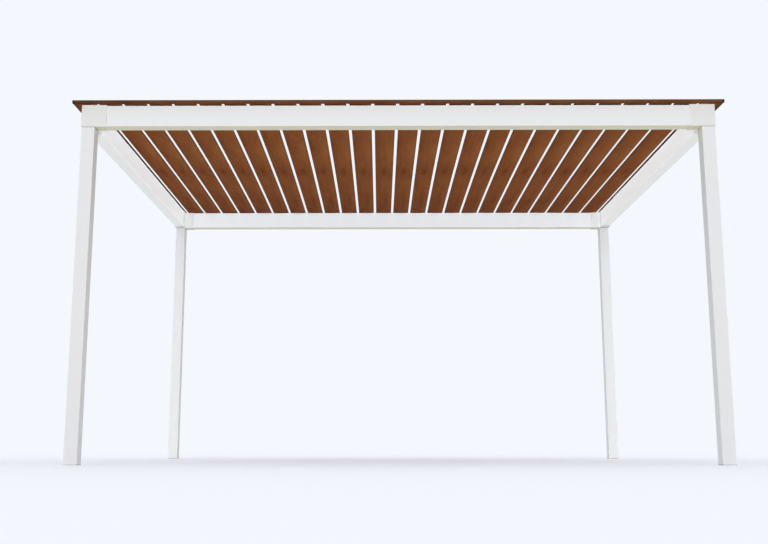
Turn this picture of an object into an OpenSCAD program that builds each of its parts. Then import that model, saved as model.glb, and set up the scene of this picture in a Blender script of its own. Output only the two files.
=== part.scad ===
// Free-standing pergola: four posts, a ring of beams joined by corner connectors,
// and a flat roof of boards laid front to back with a rim around them.
// Millimetres. +X to the right, +Y to the back, +Z up. The origin is on the ground,
// at the middle of the plan.

/* [Frame] */
// Length of the frame along X, over the outer faces of the posts
frame_length = 3890; // [2400:10:6000]
// Depth of the frame along Y, over the outer faces of the posts
frame_depth = 2890; // [1800:10:4200]
// Height from the ground to the underside of the beams
clear_height = 2046; // [1800:1:2600]

/* [Posts and beams] */
// Width of the square posts, and of the beams seen from below
profile_width = 80; // [70:1:120]
// Height of the beams
beam_height = 132; // [100:1:180]
// Wall of the hollow posts and beams
profile_wall = 2; // [1.5:0.1:4]
// Radius of the long outer edges of posts and beams
profile_edge = 1.5; // [1:0.1:4]
// Height of the rib along the top of each beam that the roof boards rest on
seat_height = 6; // [3:0.5:15]
// Width of that rib
seat_width = 40; // [20:1:60]

/* [Corner connectors] */
// Reach of each leg of a connector from the outer corner of the frame
connector_leg = 150; // [130:1:300]
// How far a connector stands proud of the outer faces of the frame
connector_proud = 4; // [1:0.5:12]
// How far a connector reaches below the underside of the beams
connector_drop = 3; // [0:0.5:10]
// Wall of the connector
connector_wall = 5; // [3:0.5:8]
// Radius of the upright edges of a connector
connector_edge = 2; // [1:0.5:3]
// Length of the spigots that hold the beams and the post
spigot_length = 60; // [20:1:120]
// Clearance between a spigot or plug and the inside of a profile, on each side
spigot_fit = 0.3; // [0.1:0.05:0.6]

/* [Feet] */
// Thickness of the foot plate under a post
foot_thickness = 7; // [4:0.5:20]
// Height of the plug that reaches from the foot plate into the post
foot_plug = 40; // [10:1:100]
// Wall of the plug
foot_plug_wall = 4; // [3:0.5:8]

/* [Roof] */
// Overhang of the roof past the frame at the left and right
side_overhang = 55; // [30:1:200]
// Overhang of the roof past the frame at the front and back
end_overhang = 36; // [30:1:200]
// Number of roof boards
slat_count = 26; // [16:1:34]
// Gap between neighbouring roof boards
slat_gap = 20; // [8:1:40]
// How far inside the side edges of the roof the layout of whole boards ends, before the
// outermost boards are cut back to the rim
slat_margin = 3.7; // [0:0.1:10]
// Thickness of the roof boards
slat_thickness = 10; // [8:1:18]
// Radius of the long edges of the roof boards and of the rim
board_edge = 1.5; // [0.5:0.1:3]
// Height of the rim that closes the ends of the boards
rim_height = 18; // [14:1:60]
// Thickness of the rim
rim_thickness = 26; // [12:1:40]

/* [Hidden] */
$fn = 48;
// Each corner's name and its turn about the vertical, from the front left one on
CORNERS = [["front_left", 0], ["front_right", 90], ["back_right", 180], ["back_left", 270]];
// Each side's name and its turn about the vertical, from the front on
SIDES = [["front", 0], ["right", 90], ["back", 180], ["left", 270]];
function slat_name(i) = str("slat_", i < 10 ? "0" : "", i);

WHITE = "whitesmoke";
GREY = "gainsboro";
BOARD_BROWN = [0.45, 0.27, 0.16];
RIM_BROWN = [0.41, 0.28, 0.18];

// How far a cut runs past the face that it opens
cut = 1;
post_top = clear_height - connector_drop;
roof_bottom = clear_height + beam_height + seat_height;
roof_length = frame_length + 2 * side_overhang;
roof_depth = frame_depth + 2 * end_overhang;
boarded_length = roof_length - 2 * rim_thickness;
slat_length = roof_depth - 2 * rim_thickness;
layout_length = roof_length - 2 * slat_margin;
slat_width = (layout_length - (slat_count - 1) * slat_gap) / slat_count;
slat_pitch = slat_width + slat_gap;
// Height of a connector's block, over the beams and what it reaches past them
block_height = connector_drop + beam_height + seat_height;
// A spigot's face lies this far inside the outer face of its profile
spigot_inset = profile_wall + spigot_fit;
spigot_width = profile_width - 2 * spigot_inset;
spigot_height = beam_height - 2 * spigot_inset;

// How far the frame spans along a side at this turn, and how deep it is behind that side
function span_at(turn) = turn % 180 == 0 ? frame_length : frame_depth;
function reach_at(turn) = turn % 180 == 0 ? frame_depth : frame_length;

// Rectangle with rounded corners, its lower left corner at the origin
module rounded_rectangle(width, height, radius) {
    translate([radius, 0]) square([width - 2 * radius, height]);
    translate([0, radius]) square([width, height - 2 * radius]);
    for (x = [radius, width - radius])
        for (y = [radius, height - radius])
            translate([x, y]) circle(r = radius);
}

// Section of a hollow profile, its outer corner at the origin
module profile_section(height) {
    difference() {
        rounded_rectangle(profile_width, height, profile_edge);
        translate([profile_wall, profile_wall])
            square([profile_width - 2 * profile_wall, height - 2 * profile_wall]);
    }
}

// Section of a beam: the hollow profile with a hollow rib along the middle of its top
module beam_section() {
    profile_section(beam_height);
    translate([(profile_width - seat_width) / 2, beam_height])
        difference() {
            square([seat_width, seat_height]);
            translate([profile_wall, 0])
                square([seat_width - 2 * profile_wall, seat_height - profile_wall]);
        }
}

// Puts a piece at a corner: its x and y axes run inwards from the frame's outer corner
module at_corner(turn) {
    rotate(turn)
        translate([-span_at(turn) / 2, -reach_at(turn) / 2, 0])
            children();
}

// Lays a section along a side at a height: its x runs inwards from the frame's outer face,
// its y upwards, and it reaches over the given length, centred on the side
module along_side(turn, length, outset, height) {
    rotate(turn)
        translate([-length / 2, -reach_at(turn) / 2 - outset, height])
            rotate([90, 0, 90])
                linear_extrude(length)
                    children();
}

module post(turn) {
    color(WHITE)
        at_corner(turn)
            translate([0, 0, foot_thickness])
                linear_extrude(post_top - foot_thickness)
                    profile_section(profile_width);
}

module foot(turn) {
    color(GREY)
        at_corner(turn) {
            linear_extrude(foot_thickness)
                rounded_rectangle(profile_width, profile_width, profile_edge);
            translate([spigot_inset, spigot_inset, foot_thickness])
                linear_extrude(foot_plug)
                    difference() {
                        square(spigot_width);
                        translate([foot_plug_wall, foot_plug_wall])
                            square(spigot_width - 2 * foot_plug_wall);
                    }
        }
}

// One leg of a connector, along x: the block, with its spigot into the beam
module connector_leg_solid() {
    translate([-connector_proud, -connector_proud, -connector_drop])
        linear_extrude(block_height)
            rounded_rectangle(
                connector_leg + connector_proud,
                profile_width + connector_proud,
                connector_edge
            );
    translate([profile_width, spigot_inset, spigot_inset])
        cube([connector_leg - profile_width + spigot_length, spigot_width, spigot_height]);
}

// The hollow of one leg, along x: wide inside the block, narrower through the spigot
module connector_leg_hollow() {
    near = connector_wall - connector_proud;
    bore_inset = spigot_inset + connector_wall;
    translate([near, near, connector_wall - connector_drop])
        cube([
            connector_leg - connector_wall - near,
            profile_width - connector_wall - near,
            block_height - 2 * connector_wall
        ]);
    translate([profile_width / 2, bore_inset, bore_inset])
        cube([
            connector_leg - profile_width / 2 + spigot_length + cut,
            spigot_width - 2 * connector_wall,
            spigot_height - 2 * connector_wall
        ]);
}

// Swaps x and y, which turns the leg along x into the leg along y
module across() {
    mirror([1, -1, 0]) children();
}

module corner_connector(turn) {
    color(WHITE)
        at_corner(turn)
            translate([0, 0, clear_height])
                difference() {
                    union() {
                        connector_leg_solid();
                        across() connector_leg_solid();
                        translate([spigot_inset, spigot_inset, -connector_drop - spigot_length])
                            cube([spigot_width, spigot_width, spigot_length + connector_wall]);
                    }
                    connector_leg_hollow();
                    across() connector_leg_hollow();
                    translate([
                        spigot_inset + connector_wall,
                        spigot_inset + connector_wall,
                        -connector_drop - spigot_length - cut
                    ])
                        cube([
                            spigot_width - 2 * connector_wall,
                            spigot_width - 2 * connector_wall,
                            spigot_length + beam_height / 2
                        ]);
                }
}

module beam(turn) {
    color(WHITE)
        along_side(turn, span_at(turn) - 2 * connector_leg, 0, clear_height)
            beam_section();
}

// The front and back rims run the whole length of the roof, the side rims fit between
module rim(turn) {
    runs_through = turn % 180 == 0;
    color(RIM_BROWN)
        along_side(
            turn,
            runs_through ? roof_length : slat_length,
            runs_through ? end_overhang : side_overhang,
            roof_bottom
        )
            rounded_rectangle(rim_thickness, rim_height, board_edge);
}

// Roof board number i, from the left, between the left and right rims
module slat(i) {
    left = max(-layout_length / 2 + (i - 1) * slat_pitch, -boarded_length / 2);
    right = min(-layout_length / 2 + (i - 1) * slat_pitch + slat_width, boarded_length / 2);
    color(BOARD_BROWN)
        translate([left, slat_length / 2, roof_bottom])
            rotate([90, 0, 0])
                linear_extrude(slat_length)
                    rounded_rectangle(right - left, slat_thickness, board_edge);
}

for (c = CORNERS) {
    post(c[1]);
    foot(c[1]);
    corner_connector(c[1]);
}
for (s = SIDES) {
    beam(s[1]);
    rim(s[1]);
}
for (i = [1 : slat_count])
    slat(i);
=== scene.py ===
"""Free-standing pergola: a white coated frame under a flat roof of brown boards.

The posts, beams, feet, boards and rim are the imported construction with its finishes. The corner
castings, with their caps and rubber seals, and the roof screws are modelled here. A pale studio
stands around them.
"""

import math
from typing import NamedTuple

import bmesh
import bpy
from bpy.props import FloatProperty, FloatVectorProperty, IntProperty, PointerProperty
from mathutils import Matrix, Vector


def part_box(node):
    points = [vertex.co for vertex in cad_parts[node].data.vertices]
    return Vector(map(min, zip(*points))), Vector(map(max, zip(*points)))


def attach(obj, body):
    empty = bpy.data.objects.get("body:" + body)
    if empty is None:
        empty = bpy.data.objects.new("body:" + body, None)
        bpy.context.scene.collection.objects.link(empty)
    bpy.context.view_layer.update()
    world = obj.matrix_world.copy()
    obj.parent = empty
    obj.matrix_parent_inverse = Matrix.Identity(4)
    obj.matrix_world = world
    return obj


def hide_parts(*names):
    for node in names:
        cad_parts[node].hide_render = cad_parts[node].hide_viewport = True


bl_info = {
    "name": "Pergola",
    "version": (1, 0, 0),
    "blender": (4, 5, 0),
    "location": "View3D > Sidebar > Pergola",
    "description": "Coated frame, corner castings with seals, stained roof, fixings and a pale studio",
    "category": "Add Mesh",
}

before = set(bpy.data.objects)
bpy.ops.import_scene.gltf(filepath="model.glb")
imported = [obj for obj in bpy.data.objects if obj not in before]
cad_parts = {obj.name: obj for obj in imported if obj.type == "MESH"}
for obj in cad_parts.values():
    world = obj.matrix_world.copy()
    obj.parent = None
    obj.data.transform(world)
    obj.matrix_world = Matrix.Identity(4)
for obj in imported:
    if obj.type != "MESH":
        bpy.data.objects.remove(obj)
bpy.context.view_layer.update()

ROOT = "root"
CORNERS = ("front_left", "front_right", "back_right", "back_left")
SIDES = ("front", "right", "back", "left")
POSTS = tuple(f"post_{corner}" for corner in CORNERS)
FEET = tuple(f"foot_{corner}" for corner in CORNERS)
BEAMS = tuple(f"beam_{side}" for side in SIDES)
RIMS = tuple(f"rim_{side}" for side in SIDES)
BOARDS = tuple(sorted(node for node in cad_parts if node.startswith("slat_")))

# How wide a whole board is, how far its neighbour is from it, and where the layout starts: the
# outermost boards are cut back to the rim, so the second and third ones are measured
SECOND_BOARD_LOW, SECOND_BOARD_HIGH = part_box(BOARDS[1])
BOARD_WIDTH = SECOND_BOARD_HIGH.x - SECOND_BOARD_LOW.x
BOARD_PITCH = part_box(BOARDS[2])[0].x - SECOND_BOARD_LOW.x
BOARD_START = SECOND_BOARD_LOW.x - BOARD_PITCH
BOARD_TOP = SECOND_BOARD_HIGH.z
ROOF_HALF_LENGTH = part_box("rim_front")[1].x
# Height of the beams without the rib on top of them
BEAM_HEIGHT = 0.132


def paint(red, green, blue):
    """Linear colour of a paint or stain that is given in the 256 steps of sRGB."""
    shares = (red / 255, green / 255, blue / 255)
    return tuple(s / 12.92 if s <= 0.04045 else ((s + 0.055) / 1.055) ** 2.4 for s in shares)


def colour_property(name, description, default):
    return FloatVectorProperty(
        name=name, description=description, default=default, size=3, min=0, max=1, subtype="COLOR"
    )


def length_property(name, description, default):
    return FloatProperty(name=name, description=description, default=default, min=0, unit="LENGTH")


def share_property(name, description, default):
    return FloatProperty(
        name=name, description=description, default=default, min=0, max=1, subtype="FACTOR"
    )


def strength_property(name, description, default):
    return FloatProperty(name=name, description=description, default=default, min=0)


def angle_property(name, description, degrees):
    return FloatProperty(
        name=name, description=description, default=math.radians(degrees), min=0, subtype="ANGLE"
    )


class PergolaCoat(bpy.types.PropertyGroup):
    """Powder coat of the metal frame, and the bounce light painted on it."""

    frame_colour: colour_property("Frame", "Coat of the posts and beams", paint(235, 235, 239))
    casting_colour: colour_property("Castings", "Coat of the corner castings", paint(226, 226, 227))
    foot_colour: colour_property("Feet", "Coat of the foot plates", paint(213, 214, 220))
    # Painted bounce light: a warm tint for light from the roof and ground on the end beams' and castings'
    # undersides
    painted_under_bounce: colour_property("Warm cast", "Cast of the coat below the end beams", (0.97, 0.93, 0.76))
    # Painted bounce light: a warm tint for light from the roof at the top of the posts' inner sides
    painted_post_bounce: colour_property("Post cast", "Cast at the top of the inner sides", (0.95, 0.955, 0.82))
    roughness: share_property("Roughness", "How matt the coat is", 0.5)
    roughness_change: share_property("Roughness change", "How much the clouds change that", 0.12)
    gloss: share_property("Gloss", "How strongly the coat reflects", 0.3)
    cloud_size: length_property("Cloud size", "Width of the faint clouds in the coat", 0.35)
    cloud_dark: strength_property("Cloud dark", "Brightness of the darkest clouds", 0.99)
    cloud_light: strength_property("Cloud light", "Brightness of the palest clouds", 1.005)
    peel_size: length_property("Peel size", "Width of one bump of the orange peel", 0.0011)
    peel_depth: length_property("Peel depth", "Depth of the orange peel", 0.00003)


class PergolaWood(bpy.types.PropertyGroup):
    """Stain and grain of the roof boards and the rim, and the shade painted on the boards."""

    light: colour_property("Light", "Palest streaks of the boards", paint(132, 81, 45))
    middle: colour_property("Middle", "Main brown of the boards", paint(116, 66, 36))
    dark: colour_property("Dark", "Darkest streaks of the boards", paint(96, 50, 26))
    knot: colour_property("Knot", "Hearts of the knots", paint(84, 41, 18))
    # Painted shade: the colour of the boards' narrow sides, darkened for the shade in the gaps between
    # boards
    edge: colour_property("Edge", "Narrow sides of the boards", paint(74, 43, 29))
    rim_light: colour_property("Rim light", "Palest streaks of the rim", paint(126, 84, 55))
    rim_middle: colour_property("Rim middle", "Main brown of the rim", paint(108, 70, 46))
    rim_dark: colour_property("Rim dark", "Darkest streaks of the rim", paint(86, 54, 37))
    rim_end: colour_property("Rim end", "End grain at the rim's corners", paint(70, 44, 32))
    rim_end_width: length_property("Rim end width", "Width of the end grain at a corner", 0.012)
    roughness: share_property("Roughness", "How matt the stain is", 0.85)
    roughness_change: share_property("Roughness change", "How much glossier pale fibres are", 0.2)
    gloss: share_property("Gloss", "How strongly the stain reflects", 0.03)
    fibre_width: length_property("Fibre width", "Width of the finest streaks", 0.0024)
    fibre_length: length_property("Fibre length", "Length of the finest streaks", 0.11)
    band_width: length_property("Band width", "Width of the broad bands of the grain", 0.017)
    band_length: length_property("Band length", "Length of the broad bands of the grain", 0.6)
    cloud_width: length_property("Cloud width", "Width of the soft clouds of the stain", 0.06)
    cloud_length: length_property("Cloud length", "Length of the soft clouds of the stain", 0.22)
    fibre_tone: strength_property("Fibre tone", "How much the fibres change the stain", 0.55)
    band_tone: strength_property("Band tone", "How much the bands change the stain", 0.6)
    cloud_tone: strength_property("Cloud tone", "How much the clouds change the stain", 0.5)
    rim_band_width: length_property("Rim band width", "Width of the rim's bands", 0.008)
    rim_band_length: length_property("Rim band length", "Length of the rim's bands", 0.3)
    rim_band_depth: length_property("Rim band depth", "Depth of the rim's bands into the strip", 0.02)
    rim_cloud_width: length_property("Rim cloud width", "Width of the rim's clouds", 0.05)
    rim_cloud_length: length_property("Rim cloud length", "Length of the rim's clouds", 0.16)
    rim_fibre_tone: strength_property("Rim fibre tone", "How much the fibres change the rim", 0.5)
    rim_band_tone: strength_property("Rim band tone", "How much the bands change the rim", 0.9)
    rim_cloud_tone: strength_property("Rim cloud tone", "How much the clouds change the rim", 1.1)
    grain_depth: length_property("Grain depth", "Depth of the grain's relief", 0.00025)


class PergolaCasting(bpy.types.PropertyGroup):
    """Corner castings, the caps on their fixings and their rubber seals, whose dark colour also paints the
    shade line at the joints.
    """

    edge: length_property("Edge", "Radius of the casting's edges", 0.0012)
    top_gap: length_property("Top gap", "Gap between a casting and the boards over it", 0.0016)
    edge_steps: IntProperty(name="Edge steps", description="Facets across an edge", default=3, min=1, max=8)
    cap_diameter: length_property("Cap diameter", "Width of a fixing's cap", 0.012)
    cap_height: length_property("Cap height", "How far a cap stands proud", 0.001)
    cap_sides: IntProperty(name="Cap sides", description="Facets round a cap", default=24, min=8, max=48)
    cap_lip: length_property("Cap lip", "Width of the rim round a cap's dish", 0.0014)
    cap_dish: length_property("Cap dish", "Depth of a cap's dish", 0.00025)
    cap_rise: length_property("Cap rise", "Distance of the two caps of a leg from its middle", 0.036)
    cap_drop: length_property("Cap drop", "Distance of a post's cap below the casting", 0.032)
    seal_proud: length_property("Seal proud", "How far a seal stands out of its post or beam", 0.0004)
    seal_band: length_property("Seal band", "Width of a seal's band of rubber", 0.0014)
    post_seal: length_property("Post seal", "Height of the seal between a post and its casting", 0.0016)
    beam_seal: length_property("Beam seal", "Thickness of the seal between a beam and its casting", 0.0005)
    # Rubber seals, partly painted shade: their dark colour also stands for the shade line under the
    # castings and at the beams' ends
    seal_rubber_and_shade_colour: colour_property("Seal", "Rubber of the seals", paint(78, 78, 77))
    seal_dust: colour_property("Seal dust", "Dusty patches of the seals", paint(91, 91, 89))


class PergolaScrews(bpy.types.PropertyGroup):
    """Screws that hold the boards down on the beams."""

    head_diameter: length_property("Head diameter", "Width of a screw head", 0.009)
    head_height: length_property("Head height", "How far a head stands proud of its board", 0.0014)
    head_sides: IntProperty(name="Head sides", description="Facets round a head", default=14, min=8, max=32)
    head_lip: length_property("Head lip", "Width of the rim round a head's recess", 0.0014)
    head_dish: length_property("Head dish", "Depth of a head's recess", 0.0008)
    from_middle: length_property("From middle", "Distance of a screw from its board's middle", 0.04)
    side_step: length_property("Side step", "Distance between the screws over a side beam", 0.43)
    steel_dark: colour_property("Dark steel", "Darker patches of the steel", paint(176, 174, 170))
    steel_light: colour_property("Light steel", "Paler patches of the steel", paint(206, 205, 202))
    polish_size: length_property("Polish size", "Width of the patches of the polish", 0.002)
    roughness: share_property("Roughness", "How matt the steel is at least", 0.24)
    roughness_change: share_property("Roughness change", "How much that varies", 0.2)


class PergolaStudio(bpy.types.PropertyGroup):
    """Floor, background, lamps and camera."""

    background: colour_property("Background", "Colour behind the pergola", paint(244, 248, 254))
    floor_paint: colour_property("Floor paint", "Light that the floor gives back", (0.87, 0.88, 0.81))
    sky: colour_property("Sky", "Tint of the light from all round", (0.985, 0.99, 1.0))
    sky_strength: strength_property("Sky strength", "Light from all round", 0.82)
    key: colour_property("Key", "Tint of the light from the front", (1.0, 1.0, 1.0))
    key_strength: strength_property("Key strength", "Light from the front", 0.58)
    key_width: angle_property("Key width", "Width of the front lamp", 10)
    key_height: angle_property("Key height", "Height of the front lamp", 5)
    side_fill: strength_property("Side fill", "Light on the inner faces of the side beams", 2.11)
    side_tint: colour_property("Side tint", "Tint of that light", (0.94, 0.99, 1.0))
    end_fill: strength_property("End fill", "Light on the inner faces of the front and back beams", 1.82)
    end_tint: colour_property("End tint", "Tint of that light", (0.86, 0.95, 1.0))
    casting_fill: strength_property("Casting fill", "Light on the inner faces of the castings", 1.47)
    casting_tint: colour_property("Casting tint", "Tint of that light", (0.94, 1.0, 1.0))
    front_fill: strength_property("Front fill", "Light on the front beam, below the roof's edge", 0.145)
    front_tint: colour_property("Front tint", "Tint of that light", (1.0, 1.0, 1.0))
    edge_power: FloatProperty(
        name="Edge lamp", description="Power of the strip below the roof's edge", default=0.11, unit="POWER"
    )
    ground_fill: strength_property("Ground fill", "Light on the underside of the front beam", 0.07)
    ground_tint: colour_property("Ground tint", "Tint of that light", (1.0, 1.0, 0.2))
    post_fill: strength_property("Post fill", "Light on the back posts, below the roof", 0.74)
    post_tint: colour_property("Post tint", "Tint of that light", (0.8, 0.91, 1.0))
    right_fill: strength_property("Right fill", "Light on the inner faces of the right posts", 0.28)
    right_tint: colour_property("Right tint", "Tint of that light", (0.35, 0.75, 1.0))
    board_fill: strength_property("Board fill", "Light on the underside of the boards", 1.12)
    board_tint: colour_property("Board tint", "Tint of that light", (0.92, 1.0, 0.96))


class Field:
    """A value of a shader that Python's arithmetic turns into Math nodes."""

    def __init__(self, socket):
        self.socket = socket

    def __add__(self, other):
        return maths("ADD", self, other)

    __radd__ = __add__

    def __sub__(self, other):
        return maths("SUBTRACT", self, other)

    def __rsub__(self, other):
        return maths("SUBTRACT", other, self)

    def __mul__(self, other):
        return maths("MULTIPLY", self, other)

    __rmul__ = __mul__

    def __truediv__(self, other):
        return maths("DIVIDE", self, other)

    def __neg__(self):
        return maths("MULTIPLY", self, -1)


def maths(operation, *values):
    """Adds a Math node to the shader that its values belong to."""
    tree = next(value.socket.id_data for value in values if isinstance(value, Field))
    node = tree.nodes.new("ShaderNodeMath")
    node.operation = operation
    for entry, value in zip(node.inputs, values):
        feed(entry, value)
    return Field(node.outputs[0])


def feed(entry, value):
    """Links a shader value to an input, or sets the input to a plain one."""
    if isinstance(value, Field):
        entry.id_data.links.new(value.socket, entry)
    else:
        entry.default_value = value


# Inputs of a Mix node for colours, which are its share and its two colours, and its output
MIX_SHARE, MIX_FIRST, MIX_SECOND = 0, 6, 7
MIX_RESULT = 2


class Shader:
    """The node tree of a material or of the world."""

    def __init__(self, owner):
        self.owner = owner
        owner.use_nodes = True
        self.tree = owner.node_tree
        self.tree.nodes.clear()

    def node(self, kind, settings=(), inputs=(), output=0):
        """Adds a node, sets it up, feeds its inputs and gives one of its outputs, if it has any."""
        made = self.tree.nodes.new(kind)
        for name, value in dict(settings).items():
            setattr(made, name, value)
        for name, value in dict(inputs).items():
            feed(made.inputs[name], value)
        return Field(made.outputs[output]) if made.outputs else None

    def place(self):
        """Place on the pergola, in metres, as its three values."""
        spot = self.node("ShaderNodeTexCoord", output="Object")
        split = self.tree.nodes.new("ShaderNodeSeparateXYZ")
        feed(split.inputs[0], spot)
        return tuple(Field(axis) for axis in split.outputs)

    def noise(self, x, y, z, detail=2.0):
        """Smooth random values around 0.5, one cell to each whole step of x, y and z."""
        spot = self.node("ShaderNodeCombineXYZ", inputs={0: x, 1: y, 2: z})
        return self.node("ShaderNodeTexNoise", inputs={"Vector": spot, "Scale": 1.0, "Detail": detail})

    def blend(self, share, first, second):
        """Colour between two colours, at a share from 0 to 1."""
        return self.mix("MIX", share, first, second)

    def stain(self, share, colour, cast):
        """Colour multiplied by a cast, at a share from 0 to 1: the coat's painted bounce light is laid on
        with it.
        """
        return self.mix("MULTIPLY", share, colour, cast)

    def mix(self, blend_type, share, first, second):
        """Adds a Mix node for colours."""
        settings = {"data_type": "RGBA", "blend_type": blend_type, "clamp_factor": True}
        inputs = {MIX_SHARE: share, MIX_FIRST: first, MIX_SECOND: second}
        return self.node("ShaderNodeMix", settings, inputs, MIX_RESULT)

    def relief(self, height, depth):
        """Normal of a surface whose relief goes from 0 to depth with height."""
        return self.node("ShaderNodeBump", inputs={"Strength": 1.0, "Distance": depth, "Height": height})

    def surface(self, inputs):
        """Ends a material in a Principled surface."""
        light = self.node("ShaderNodeBsdfPrincipled", inputs=inputs)
        self.node("ShaderNodeOutputMaterial", inputs={"Surface": light})
        return self.owner


def opaque(colour, level=1.0):
    """Colour with its alpha, at a share of its brightness."""
    return (*(level * channel for channel in colour), 1.0)


# The painted bounce light, a warm tint for light from the roof and ground, lies on the undersides
# along the front and back, between the posts: nearer to the middle than this depth there is none,
# nor past this length, and its edge fades over this distance
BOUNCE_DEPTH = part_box("beam_back")[0].y
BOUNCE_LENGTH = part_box("post_front_right")[0].x
BOUNCE_FADE = 0.0015
# How far down a post's inner side its painted bounce light reaches, paler and paler
POST_BOUNCE_REACH = 0.2


def coat_finish(name, colour, coat, underside=None, post_top=None):
    """Satin powder coat: faint clouds and the fine relief of orange peel.

    A coat that is given its underside's height has painted warm bounce light there, and one that
    is given the height of the posts' top has painted bounce light at the top of the posts' inner sides.
    """
    shader = Shader(bpy.data.materials.new(name))
    x, y, z = shader.place()
    cloud = shader.noise(x / coat.cloud_size, y / coat.cloud_size, z / coat.cloud_size)
    peel = shader.noise(x / coat.peel_size, y / coat.peel_size, z / coat.peel_size, detail=1.0)
    white = shader.blend(cloud, opaque(colour, coat.cloud_dark), opaque(colour, coat.cloud_light))
    # Painted bounce light: a warm tint on the undersides along the front and back
    if underside is not None:
        below = underside + BOUNCE_FADE - z
        beyond = maths("ABSOLUTE", y) - BOUNCE_DEPTH + BOUNCE_FADE
        between = BOUNCE_LENGTH - maths("ABSOLUTE", x)
        nearest = maths("MINIMUM", below, maths("MINIMUM", beyond, between))
        white = shader.stain(nearest / BOUNCE_FADE, white, opaque(coat.painted_under_bounce))
    # Painted bounce light: a warm tint at the top of the posts' inner sides
    if post_top is not None:
        inside = (BOUNCE_LENGTH + BOUNCE_FADE - maths("ABSOLUTE", x)) / BOUNCE_FADE
        above = (z - (post_top - POST_BOUNCE_REACH)) / POST_BOUNCE_REACH
        white = shader.stain(maths("MINIMUM", inside, above), white, opaque(coat.painted_post_bounce))
    return shader.surface({
        "Base Color": white,
        "Roughness": coat.roughness + coat.roughness_change * (cloud - 0.5),
        "Specular IOR Level": coat.gloss,
        "Normal": shader.relief(peel, coat.peel_depth),
    })


class Mark(NamedTuple):
    """A knot, a streak or a patch of painted shade that every board has at the same place."""

    across: float  # share of the board's width, from its left edge
    along: float  # metres behind the pergola's middle
    half_width: float  # metres
    half_length: float  # metres
    darkness: float  # negative where the mark is paler than the board


KNOTS = (
    Mark(across=0.48, along=0.035, half_width=0.018, half_length=0.09, darkness=0.6),
    Mark(across=0.63, along=0.96, half_width=0.016, half_length=0.12, darkness=0.45),
    Mark(across=0.05, along=-0.645, half_width=0.014, half_length=0.08, darkness=0.35),
)
STREAKS_AND_SHADE = (
    Mark(across=0.74, along=-0.44, half_width=0.032, half_length=0.28, darkness=-0.33),
    Mark(across=0.12, along=-0.62, half_width=0.02, half_length=0.3, darkness=0.12),
    Mark(across=0.42, along=0.05, half_width=0.06, half_length=0.14, darkness=0.12),
    # Painted shade, not a streak: every board darker toward the back beam, where the light from the front
    # reaches less
    Mark(across=0.50, along=1.25, half_width=0.15, half_length=0.42, darkness=0.24),
)
# How far the fibres part around a knot, as a share of the way to it
KNOT_PULL = 0.6
# How much paler a board's right edge is than its left one
SLANT = 0.34
# How far the painted shade of a board's narrow sides reaches in, with their rounding, and over how much it
# fades
SHADED_SIDE_REACH = 0.0015
SHADED_SIDE_FADE = 0.0012
# Octaves in the noise of the fibres
FIBRE_DETAIL = 3.0
# How far apart in the noise the fibres and the clouds of neighbouring boards lie
FIBRE_STEP = 3.7
CLOUD_STEP = 0.35
# Depths in the noise at which the boards' bands and clouds are read, and the rim's clouds
BAND_DEPTH = 0.5
CLOUD_DEPTH = 2.0
RIM_CLOUD_DEPTH = 4.0
# Shares of the fibres and the bands in the relief of the grain
FIBRE_RELIEF = 0.6
BAND_RELIEF = 0.4
# Middle of the darker stretch of the front and back rims, half its length and how dark it gets
RIM_PATCH_PLACE = -1.78
RIM_PATCH_HALF_LENGTH = 0.32
RIM_PATCH_DARKNESS = 0.45
# Size of the patches of dust on rubber, and the roughness of bare rubber and what dust adds
DUST_SIZE = 0.02
RUBBER_ROUGHNESS = 0.8
DUST_ROUGHNESS = 0.1
# How far the joint between two strips of the rim fades
JOINT_FADE = 0.0015


def mark_share(mark, across, along):
    """How much a place of the board belongs to a mark, from 1 at its middle to 0 around it."""
    aside = (across - mark.across) * (BOARD_WIDTH / mark.half_width)
    ahead = (along - mark.along) / mark.half_length
    return maths("EXPONENT", -(aside * aside + ahead * ahead))


def board_finish(wood):
    """Stained boards: fibres and bands along each board, which part around its knots, with painted shade on
    their narrow sides and toward the back beam.
    """
    shader = Shader(bpy.data.materials.new("board_wood_and_shade"))
    x, along, z = shader.place()
    from_start = x - BOARD_START
    number = maths("FLOOR", from_start / BOARD_PITCH)
    across = (from_start - number * BOARD_PITCH) / BOARD_WIDTH

    knots = [(knot, mark_share(knot, across, along)) for knot in KNOTS]
    streaks = [(streak, mark_share(streak, across, along)) for streak in STREAKS_AND_SHADE]
    parted = across
    for knot, share in knots:
        parted = parted - (across - knot.across) * share * KNOT_PULL
    aside = parted * BOARD_WIDTH

    depth = z + number * FIBRE_STEP
    fibre = shader.noise(aside / wood.fibre_width, along / wood.fibre_length, depth, FIBRE_DETAIL)
    band = shader.noise(aside / wood.band_width, along / wood.band_length, BAND_DEPTH)
    depth = number * CLOUD_STEP + CLOUD_DEPTH
    cloud = shader.noise(aside / wood.cloud_width, along / wood.cloud_length, depth)
    tone = 0.5 + wood.band_tone * (band - 0.5) + wood.fibre_tone * (fibre - 0.5)
    tone = tone + wood.cloud_tone * (cloud - 0.5) + SLANT * (across - 0.5)
    # The streaks pale or darken the tone, and the last mark lays painted shade toward the back
    for mark, share in streaks:
        tone = tone - share * mark.darkness
    heart = sum(share * knot.darkness for knot, share in knots)
    # Share of painted shade on the narrow sides, which lie in the shade of the gaps
    from_side = (0.5 - maths("ABSOLUTE", across - 0.5)) * BOARD_WIDTH
    side = (SHADED_SIDE_REACH - from_side) / SHADED_SIDE_FADE

    stain = shader.blend(2 * tone, opaque(wood.dark), opaque(wood.middle))
    stain = shader.blend(2 * tone - 1, stain, opaque(wood.light))
    stain = shader.blend(heart, stain, opaque(wood.knot))
    # Painted shade on the narrow sides
    stain = shader.blend(side, stain, opaque(wood.edge))
    return shader.surface({
        "Base Color": stain,
        "Roughness": wood.roughness + wood.roughness_change * (0.5 - fibre),
        "Specular IOR Level": wood.gloss,
        "Normal": shader.relief(FIBRE_RELIEF * fibre + BAND_RELIEF * band, wood.grain_depth),
    })


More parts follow.
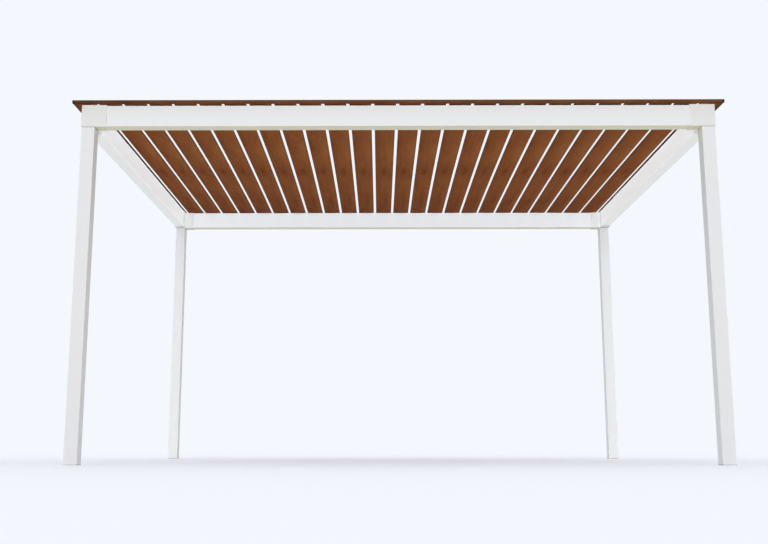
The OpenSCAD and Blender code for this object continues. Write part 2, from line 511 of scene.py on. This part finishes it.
def rim_finish(name, wood, runs_along_x):
    """Stained strip of the rim, with its grain along it, and the side strips' ends at the corners."""
    shader = Shader(bpy.data.materials.new(name))
    x, y, z = shader.place()
    along, through = (x, y) if runs_along_x else (y, x)
    depth = through / wood.fibre_width
    fibre = shader.noise(z / wood.fibre_width, along / wood.fibre_length, depth, FIBRE_DETAIL)
    depth = through / wood.rim_band_depth
    band = shader.noise(z / wood.rim_band_width, along / wood.rim_band_length, depth)
    cloud = shader.noise(z / wood.rim_cloud_width, along / wood.rim_cloud_length, RIM_CLOUD_DEPTH)
    tone = 0.5 + wood.rim_band_tone * (band - 0.5) + wood.rim_fibre_tone * (fibre - 0.5)
    tone = tone + wood.rim_cloud_tone * (cloud - 0.5)
    if runs_along_x:
        ahead = (x - RIM_PATCH_PLACE) / RIM_PATCH_HALF_LENGTH
        tone = tone - RIM_PATCH_DARKNESS * maths("EXPONENT", -(ahead * ahead))
    stain = shader.blend(2 * tone, opaque(wood.rim_dark), opaque(wood.rim_middle))
    stain = shader.blend(2 * tone - 1, stain, opaque(wood.rim_light))
    if runs_along_x:
        joint = ROOF_HALF_LENGTH - wood.rim_end_width
        end = (maths("ABSOLUTE", x) - joint) / JOINT_FADE
        stain = shader.blend(end, stain, opaque(wood.rim_end))
    return shader.surface({
        "Base Color": stain,
        "Roughness": wood.roughness + wood.roughness_change * (0.5 - fibre),
        "Specular IOR Level": wood.gloss,
        "Normal": shader.relief(FIBRE_RELIEF * fibre + BAND_RELIEF * band, wood.grain_depth),
    })


def rubber_finish(casting):
    """Matt rubber of the seals, a little dusty; its dark colour also paints the shade line at the joints.
    """
    shader = Shader(bpy.data.materials.new("seal_rubber_and_shade"))
    x, y, z = shader.place()
    dust = shader.noise(x / DUST_SIZE, y / DUST_SIZE, z / DUST_SIZE)
    return shader.surface({
        "Base Color": shader.blend(dust, opaque(casting.seal_rubber_and_shade_colour), opaque(casting.seal_dust)),
        "Roughness": RUBBER_ROUGHNESS + DUST_ROUGHNESS * dust,
    })


def screw_finish(screws):
    """Stainless steel of the roof screws, a little uneven in its polish."""
    shader = Shader(bpy.data.materials.new("screw_steel"))
    x, y, z = shader.place()
    size = screws.polish_size
    polish = shader.noise(x / size, y / size, z / size)
    return shader.surface({
        "Base Color": shader.blend(polish, opaque(screws.steel_dark), opaque(screws.steel_light)),
        "Metallic": 1.0,
        "Roughness": screws.roughness + screws.roughness_change * polish,
    })


def dress(nodes, finish):
    """Gives CAD nodes a finish."""
    for node in nodes:
        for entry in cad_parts[node].material_slots:
            entry.material = finish


def add_piece(name, shape, finish, stands_for=()):
    """Turns a finished shape into a piece of the pergola, in place of the nodes that it stands for."""
    mesh = bpy.data.meshes.new(name)
    bmesh.ops.recalc_face_normals(shape, faces=shape.faces)
    for face in shape.faces:
        face.smooth = True
    shape.to_mesh(mesh)
    shape.free()
    mesh.materials.append(finish)
    piece = bpy.data.objects.new(name, mesh)
    bpy.context.scene.collection.objects.link(piece)
    piece.modifiers.new("flat_faces", "WEIGHTED_NORMAL")
    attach(piece, ROOT)
    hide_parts(*stands_for)


class Corner(NamedTuple):
    """One corner of the frame: the post's outer upright edge and the ways from it into the frame."""

    name: str
    outer: Vector
    inward: Vector
    post_width: float
    leg: float
    proud: float
    bottom: float
    top: float
    beam_bottom: float
    beam_top: float

    def spot(self, x, y, z=0.0):
        """Point at x and y inwards from the outer corner, and at a height."""
        return Vector((self.outer.x + self.inward.x * x, self.outer.y + self.inward.y * y, z))


def corner_of(name):
    """Reads a corner's place and sizes from the frame."""
    post_low, post_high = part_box(f"post_{name}")
    casting_low, casting_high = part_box(f"corner_{name}")
    beam_low, beam_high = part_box("beam_front")
    is_left = post_low.x < 0
    is_front = post_low.y < 0
    outer = Vector((post_low.x if is_left else post_high.x, post_low.y if is_front else post_high.y))
    return Corner(
        name=name,
        outer=outer,
        inward=Vector((1 if is_left else -1, 1 if is_front else -1)),
        post_width=post_high.x - post_low.x,
        leg=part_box("post_front_right")[1].x - beam_high.x,
        proud=abs((casting_low.x if is_left else casting_high.x) - outer.x),
        bottom=post_high.z,
        top=casting_high.z,
        beam_bottom=beam_low.z,
        beam_top=beam_low.z + BEAM_HEIGHT,
    )


def casting_shape(corner, casting):
    """L-shaped casting that caps the post and takes the two beams."""
    shape = bmesh.new()
    outside, inside, end = -corner.proud, corner.post_width, corner.leg
    outline = (
        (outside, outside), (end, outside), (end, inside), (inside, inside), (inside, end), (outside, end)
    )
    foot = shape.faces.new([shape.verts.new(corner.spot(x, y, corner.bottom)) for x, y in outline])
    stretch(shape, [foot], Vector((0, 0, corner.top - casting.top_gap - corner.bottom)))
    bmesh.ops.bevel(
        shape,
        geom=shape.edges[:],
        offset=casting.edge,
        offset_type="OFFSET",
        segments=casting.edge_steps,
        profile=0.5,
        affect="EDGES",
        material=-1,
    )
    return shape


def seal_shape(corner, casting):
    """Rubber round the top of a post and the ends of two beams, where their casting sits on them."""
    shape = bmesh.new()
    proud, band = casting.seal_proud, casting.seal_band
    low, high = -proud, corner.post_width + proud
    square = ((low, low), (high, low), (high, high), (low, high))
    base = corner.bottom - casting.post_seal
    plate = shape.faces.new([shape.verts.new(corner.spot(x, y, base)) for x, y in square])
    # The inset takes its directions from the plate's normal
    shape.normal_update()
    bmesh.ops.inset_region(
        shape, faces=[plate], thickness=band, use_boundary=True, use_even_offset=True
    )
    bmesh.ops.delete(shape, geom=[plate], context="FACES")
    stretch(shape, shape.faces[:], Vector((0, 0, casting.post_seal)))
    bottom, top = corner.beam_bottom - proud, corner.beam_top
    channel = (
        (low, top), (low, bottom), (high, bottom), (high, top),
        (high - band, top), (high - band, bottom + band), (low + band, bottom + band), (low + band, top),
    )
    for along_x in (True, False):
        verts = []
        for across, height in channel:
            x, y = (corner.leg, across) if along_x else (across, corner.leg)
            verts.append(shape.verts.new(corner.spot(x, y, height)))
        way = corner.spot(1, 0) if along_x else corner.spot(0, 1)
        stretch(shape, [shape.faces.new(verts)], (way - corner.spot(0, 0)) * casting.beam_seal)
    return shape


def stretch(shape, faces, way):
    """Extrudes faces along a way."""
    raised = bmesh.ops.extrude_face_region(shape, geom=faces)["geom"]
    lifted = [part for part in raised if isinstance(part, bmesh.types.BMVert)]
    bmesh.ops.translate(shape, verts=lifted, vec=way)


# How far a head's side leans in, as a share of its height
HEAD_SLOPE = 0.6


def heads_shape(places, diameter, height, sides, lip, dish):
    """Round heads of fixings, each with a dished top, at places given as a point and a facing."""
    shape = bmesh.new()
    for point, facing in places:
        turn = Vector((0, 0, 1)).rotation_difference(facing).to_matrix().to_4x4()
        made = bmesh.ops.create_cone(
            shape,
            cap_ends=True,
            segments=sides,
            radius1=diameter / 2,
            radius2=diameter / 2 - height * HEAD_SLOPE,
            depth=height,
            matrix=Matrix.Translation(point + facing * height / 2) @ turn,
        )
        faces = {face for vert in made["verts"] for face in vert.link_faces}
        crown = max(faces, key=lambda face: face.calc_center_median().dot(facing))
        bmesh.ops.inset_region(shape, faces=[crown], thickness=lip)
        bmesh.ops.translate(shape, verts=crown.verts, vec=facing * -dish)
        bmesh.ops.inset_region(shape, faces=[crown], thickness=lip)
    return shape


class PERGOLA_OT_coat_frame(bpy.types.Operator):
    """Coats the posts, beams and feet"""

    bl_idname = "pergola.coat_frame"
    bl_label = "Coat Frame"

    def execute(self, context):
        coat = context.scene.pergola_coat
        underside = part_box("beam_front")[0].z
        post_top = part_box(POSTS[0])[1].z
        dress(("beam_left", "beam_right"), coat_finish("side_beam_coat", coat.frame_colour, coat))
        # The posts and the end beams get painted bounce light, the side beams and feet none
        dress(POSTS, coat_finish("post_coat_and_bounce", coat.frame_colour, coat, post_top=post_top))
        dress(("beam_front", "beam_back"), coat_finish("end_beam_coat_and_bounce", coat.frame_colour, coat, underside))
        dress(FEET, coat_finish("foot_coat", coat.foot_colour, coat))
        return {"FINISHED"}


class PERGOLA_OT_cast_corners(bpy.types.Operator):
    """Models the corner castings, the caps on their fixings and their rubber seals"""

    bl_idname = "pergola.cast_corners"
    bl_label = "Cast Corners"

    def execute(self, context):
        coat = context.scene.pergola_coat
        casting = context.scene.pergola_casting
        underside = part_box(POSTS[0])[1].z
        # The castings get painted bounce light on their undersides
        finish = coat_finish("casting_coat_and_bounce", coat.casting_colour, coat, underside)
        rubber = rubber_finish(casting)
        for name in CORNERS:
            corner = corner_of(name)
            node = f"corner_{name}"
            add_piece(f"casting_{name}", casting_shape(corner, casting), finish, [node])
            caps = heads_shape(
                self.cap_places(corner, casting),
                casting.cap_diameter,
                casting.cap_height,
                casting.cap_sides,
                casting.cap_lip,
                casting.cap_dish,
            )
            add_piece(f"caps_{name}", caps, finish)
            add_piece(f"seal_{name}", seal_shape(corner, casting), rubber)
        return {"FINISHED"}

    def cap_places(self, corner, casting):
        """Two caps on the inner face of each leg, and one on each inner face of the post."""
        way_x = Vector((corner.inward.x, 0, 0))
        way_y = Vector((0, corner.inward.y, 0))
        inside = corner.post_width
        leg_middle = (inside + corner.leg) / 2
        middle = (corner.bottom + corner.top) / 2
        heights = (middle - casting.cap_rise, middle + casting.cap_rise)
        places = [(corner.spot(leg_middle, inside, height), way_y) for height in heights]
        places += [(corner.spot(inside, leg_middle, height), way_x) for height in heights]
        drop = corner.bottom - casting.cap_drop
        places.append((corner.spot(inside / 2, inside, drop), way_y))
        places.append((corner.spot(inside, inside / 2, drop), way_x))
        return places


class PERGOLA_OT_stain_roof(bpy.types.Operator):
    """Stains the boards and the rim"""

    bl_idname = "pergola.stain_roof"
    bl_label = "Stain Roof"

    def execute(self, context):
        wood = context.scene.pergola_wood
        dress(BOARDS, board_finish(wood))
        dress(("rim_front", "rim_back"), rim_finish("rim_wood_long", wood, runs_along_x=True))
        dress(("rim_left", "rim_right"), rim_finish("rim_wood_side", wood, runs_along_x=False))
        return {"FINISHED"}


class PERGOLA_OT_drive_screws(bpy.types.Operator):
    """Drives the screws that hold the boards on the beams"""

    bl_idname = "pergola.drive_screws"
    bl_label = "Drive Screws"

    def execute(self, context):
        screws = context.scene.pergola_screws
        finish = screw_finish(screws)
        for side in SIDES:
            along_y = side in ("left", "right")
            spots = self.side_spots(side, screws) if along_y else self.end_spots(side, screws)
            shape = heads_shape(
                [(Vector((x, y, BOARD_TOP)), Vector((0, 0, 1))) for x, y in spots],
                screws.head_diameter,
                screws.head_height,
                screws.head_sides,
                screws.head_lip,
                screws.head_dish,
            )
            add_piece(f"screws_{side}", shape, finish)
        return {"FINISHED"}

    def end_spots(self, side, screws):
        """Two screws in each board, over the front or back beam."""
        low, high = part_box(f"beam_{side}")
        middle = (low.y + high.y) / 2
        spots = []
        for board in BOARDS:
            board_low, board_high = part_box(board)
            centre = (board_low.x + board_high.x) / 2
            spots += [(centre - screws.from_middle, middle), (centre + screws.from_middle, middle)]
        return spots

    def side_spots(self, side, screws):
        """A row of screws in the outermost board, over the left or right beam."""
        low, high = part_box(f"beam_{side}")
        middle = (low.x + high.x) / 2
        count = round((high.y - low.y) / screws.side_step)
        step = (high.y - low.y) / count
        return [(middle, low.y + step * (index + 0.5)) for index in range(count)]


# Where the camera stands and how it looks: metres, radians, millimetres and a share of the sensor
CAMERA_PLACE = Vector((-0.1117, -7.1318, 0.1149))
CAMERA_TURN = 0.00488
CAMERA_RISE = 0.17735
CAMERA_LENS = 45.31
CAMERA_SENSOR = 36.0
CAMERA_SHIFT = 0.01153

# Half the width of the floor, whose far edge lies at the horizon for the camera
FLOOR_HALF = 150.0
# Which way a lamp that lights an inner face shines, seen from above
OUTWARD = {"front": (0, -1), "right": (1, 0), "back": (0, 1), "left": (-1, 0)}
# How steeply the fills of the beams shine upwards, and how wide the fills are
SIDE_FILL_RISE = math.radians(24)
END_FILL_RISE = math.radians(1)
FILL_WIDTH = math.radians(20)
BOARD_FILL_WIDTH = math.radians(100)
# What shades a lamp that nothing should: the feet, which keep hardly any of its light away
UNSHADED = FEET
# Distance of the strip below the roof's edge from the front beam, and its width
EDGE_LAMP_DISTANCE = 0.022
EDGE_LAMP_WIDTH = 0.004


class PERGOLA_OT_set_studio(bpy.types.Operator):
    """Sets the floor, the background, the lamps and the camera"""

    bl_idname = "pergola.set_studio"
    bl_label = "Set Studio"

    def execute(self, context):
        studio = context.scene.pergola_studio
        self.add_camera(context.scene)
        self.set_sky(context.scene, studio)
        self.add_floor(studio)
        self.add_key(studio)
        self.add_fills(studio)
        self.add_edge_lamp(studio)
        context.scene.view_settings.view_transform = "Standard"
        # A light tree weighs lamps that light only some pieces unevenly from corner to corner
        context.scene.cycles.use_light_tree = False
        return {"FINISHED"}

    def add_camera(self, scene):
        camera = bpy.data.cameras.new("camera")
        camera.sensor_width = CAMERA_SENSOR
        camera.lens = CAMERA_LENS
        camera.shift_x = CAMERA_SHIFT
        stand = bpy.data.objects.new("camera", camera)
        stand.location = CAMERA_PLACE
        stand.rotation_euler = (math.pi / 2 + CAMERA_RISE, 0, CAMERA_TURN)
        scene.collection.objects.link(stand)
        scene.camera = stand

    def set_sky(self, scene, studio):
        """Even light from all round, and the background where the camera or a reflection sees it."""
        scene.world = bpy.data.worlds.new("sky")
        shader = Shader(scene.world)
        level = opaque(studio.sky, studio.sky_strength)
        colour = shader.blend(seen_directly(shader), level, opaque(studio.background))
        light = shader.node("ShaderNodeBackground", inputs={"Color": colour, "Strength": 1.0})
        shader.node("ShaderNodeOutputWorld", inputs={"Surface": light})

    def add_floor(self, studio):
        """Pale floor, lifted to the background's colour where the camera sees it in full light."""
        shape = bmesh.new()
        bmesh.ops.create_grid(shape, x_segments=1, y_segments=1, size=FLOOR_HALF)
        mesh = bpy.data.meshes.new("floor")
        shape.to_mesh(mesh)
        shape.free()
        floor = bpy.data.objects.new("floor", mesh)
        bpy.context.scene.collection.objects.link(floor)
        shader = Shader(bpy.data.materials.new("floor_paint"))
        mesh.materials.append(shader.surface({
            "Base Color": opaque(studio.floor_paint),
            "Roughness": 1.0,
            "Specular IOR Level": 0.0,
            "Emission Color": opaque(self.floor_lift(studio)),
            "Emission Strength": seen_directly(shader),
        }))

    def floor_lift(self, studio):
        """What the floor lacks to look like the background where all the light falls on it."""
        key_share = studio.key_strength / math.pi * math.sin(studio.key_height)
        channels = zip(studio.background, studio.floor_paint, studio.sky, studio.key)
        return [
            max(0.0, behind - floor * (sky * studio.sky_strength + key * key_share))
            for behind, floor, sky, key in channels
        ]

    def add_key(self, studio):
        """Wide, soft lamp in front of the pergola, a little above the ground."""
        key = bpy.data.lights.new("key", "SUN")
        key.energy = studio.key_strength
        key.color = studio.key
        key.angle = studio.key_width
        lamp = bpy.data.objects.new("key", key)
        lamp.rotation_euler = (math.pi / 2 - studio.key_height, 0, 0)
        bpy.context.scene.collection.objects.link(lamp)

    def add_fills(self, studio):
        """Lamps for the faces under the dark roof, which the light from all round leaves too dim."""
        for side, (x, y) in OUTWARD.items():
            is_end = side in ("front", "back")
            way = shining(x, y, END_FILL_RISE if is_end else SIDE_FILL_RISE)
            strength = studio.end_fill if is_end else studio.side_fill
            tint = studio.end_tint if is_end else studio.side_tint
            shading = UNSHADED if is_end else RIMS + BOARDS
            add_fill(f"{side}_beam_fill", way, strength, tint, [f"beam_{side}"], shading)
            way = shining(x, y, 0)
            castings = castings_of(side)
            add_fill(f"{side}_casting_fill", way, studio.casting_fill, studio.casting_tint, castings)
        forwards = shining(0, 1, 0)
        upwards = Vector((0, 0, 1))
        front = front_pieces()
        back_posts = ("post_back_left", "post_back_right")
        right_posts = ("post_front_right", "post_back_right")
        add_fill("front_fill", forwards, studio.front_fill, studio.front_tint, front)
        add_fill("ground_fill", upwards, studio.ground_fill, studio.ground_tint, front)
        add_fill("post_fill", forwards, studio.post_fill, studio.post_tint, back_posts)
        add_fill("right_fill", shining(1, 0, 0), studio.right_fill, studio.right_tint, right_posts)
        boards = add_fill(
            "board_fill", upwards, studio.board_fill, studio.board_tint, BOARDS, BEAMS + RIMS + BOARDS
        )
        boards.angle = BOARD_FILL_WIDTH

    def add_edge_lamp(self, studio):
        """Thin strip below the roof's front edge, whose shade would darken the top of the beam."""
        beam_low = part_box("beam_front")[0]
        rim_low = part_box("rim_front")[0]
        strip = bpy.data.lights.new("edge_lamp", "AREA")
        strip.shape = "RECTANGLE"
        strip.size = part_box(POSTS[1])[1].x * 2
        strip.size_y = EDGE_LAMP_WIDTH
        strip.energy = studio.edge_power
        lamp = bpy.data.objects.new("edge_lamp", strip)
        lamp.location = (0, beam_low.y - EDGE_LAMP_DISTANCE, rim_low.z - EDGE_LAMP_WIDTH)
        lamp.rotation_euler = (math.pi / 2, 0, 0)
        place_lamp(lamp, front_pieces(), ())


def shining(x, y, rise):
    """Way of light that goes along x and y, and rises at an angle."""
    return Vector((x * math.cos(rise), y * math.cos(rise), math.sin(rise)))


def castings_of(side):
    """Castings and caps at the two ends of a side."""
    corners = [corner for corner in CORNERS if side in corner]
    return [f"{kind}_{corner}" for kind in ("casting", "caps") for corner in corners]


def front_pieces():
    """Front beam, with the castings and caps at its ends."""
    return ["beam_front", *castings_of("front")]


def add_fill(name, way, strength, tint, lit, shading=UNSHADED):
    """Far lamp that lights only the pieces that are named, and that only some pieces shade."""
    fill = bpy.data.lights.new(name, "SUN")
    fill.energy = strength
    fill.color = tint
    fill.angle = FILL_WIDTH
    # Rays from the pieces towards the lamp would end at the floor, although it shades no fill
    fill.cycles.use_multiple_importance_sampling = False
    lamp = bpy.data.objects.new(name, fill)
    lamp.rotation_mode = "QUATERNION"
    lamp.rotation_quaternion = (-way).to_track_quat("Z", "Y")
    place_lamp(lamp, lit, shading)
    return fill


def place_lamp(lamp, lit, shading):
    """Adds a lamp that isn't seen, with the pieces that it lights and those that shade it.

    If none is named for shading, everything shades it.
    """
    lamp.visible_camera = False
    lamp.visible_glossy = False
    lamp.light_linking.receiver_collection = collect(f"{lamp.name}_lit", lit)
    lamp.light_linking.blocker_collection = collect(f"{lamp.name}_shading", shading)
    bpy.context.scene.collection.objects.link(lamp)


def collect(name, pieces):
    """Collection of the pieces that are named."""
    collection = bpy.data.collections.new(name)
    for piece in pieces:
        collection.objects.link(bpy.data.objects[piece])
    return collection


def seen_directly(shader):
    """1 for rays of the camera and of reflections, 0 for light that falls on something."""
    paths = ("Is Camera Ray", "Is Glossy Ray")
    camera, glossy = (shader.node("ShaderNodeLightPath", output=path) for path in paths)
    return maths("MAXIMUM", camera, glossy)


STEPS = (
    PERGOLA_OT_coat_frame,
    PERGOLA_OT_cast_corners,
    PERGOLA_OT_stain_roof,
    PERGOLA_OT_drive_screws,
    PERGOLA_OT_set_studio,
)
SETTINGS = {
    "pergola_coat": PergolaCoat,
    "pergola_casting": PergolaCasting,
    "pergola_wood": PergolaWood,
    "pergola_screws": PergolaScrews,
    "pergola_studio": PergolaStudio,
}


class PERGOLA_PT_panel(bpy.types.Panel):
    """Lists the pergola's steps, with their sizes and colours"""

    bl_idname = "PERGOLA_PT_panel"
    bl_label = "Pergola"
    bl_space_type = "VIEW_3D"
    bl_region_type = "UI"
    bl_category = "Pergola"

    def draw(self, context):
        for step in STEPS:
            self.layout.operator(step.bl_idname)
        for name, group in SETTINGS.items():
            box = self.layout.box()
            for field in group.__annotations__:
                box.prop(getattr(context.scene, name), field)


def register():
    for group in (*SETTINGS.values(), *STEPS, PERGOLA_PT_panel):
        bpy.utils.register_class(group)
    for name, group in SETTINGS.items():
        setattr(bpy.types.Scene, name, PointerProperty(type=group))


def unregister():
    for name in SETTINGS:
        delattr(bpy.types.Scene, name)
    for group in reversed((*SETTINGS.values(), *STEPS, PERGOLA_PT_panel)):
        bpy.utils.unregister_class(group)


def main():
    register()
    bpy.ops.pergola.coat_frame()
    bpy.ops.pergola.cast_corners()
    bpy.ops.pergola.stain_roof()
    bpy.ops.pergola.drive_screws()
    bpy.ops.pergola.set_studio()


if __name__ == "__main__":
    main()
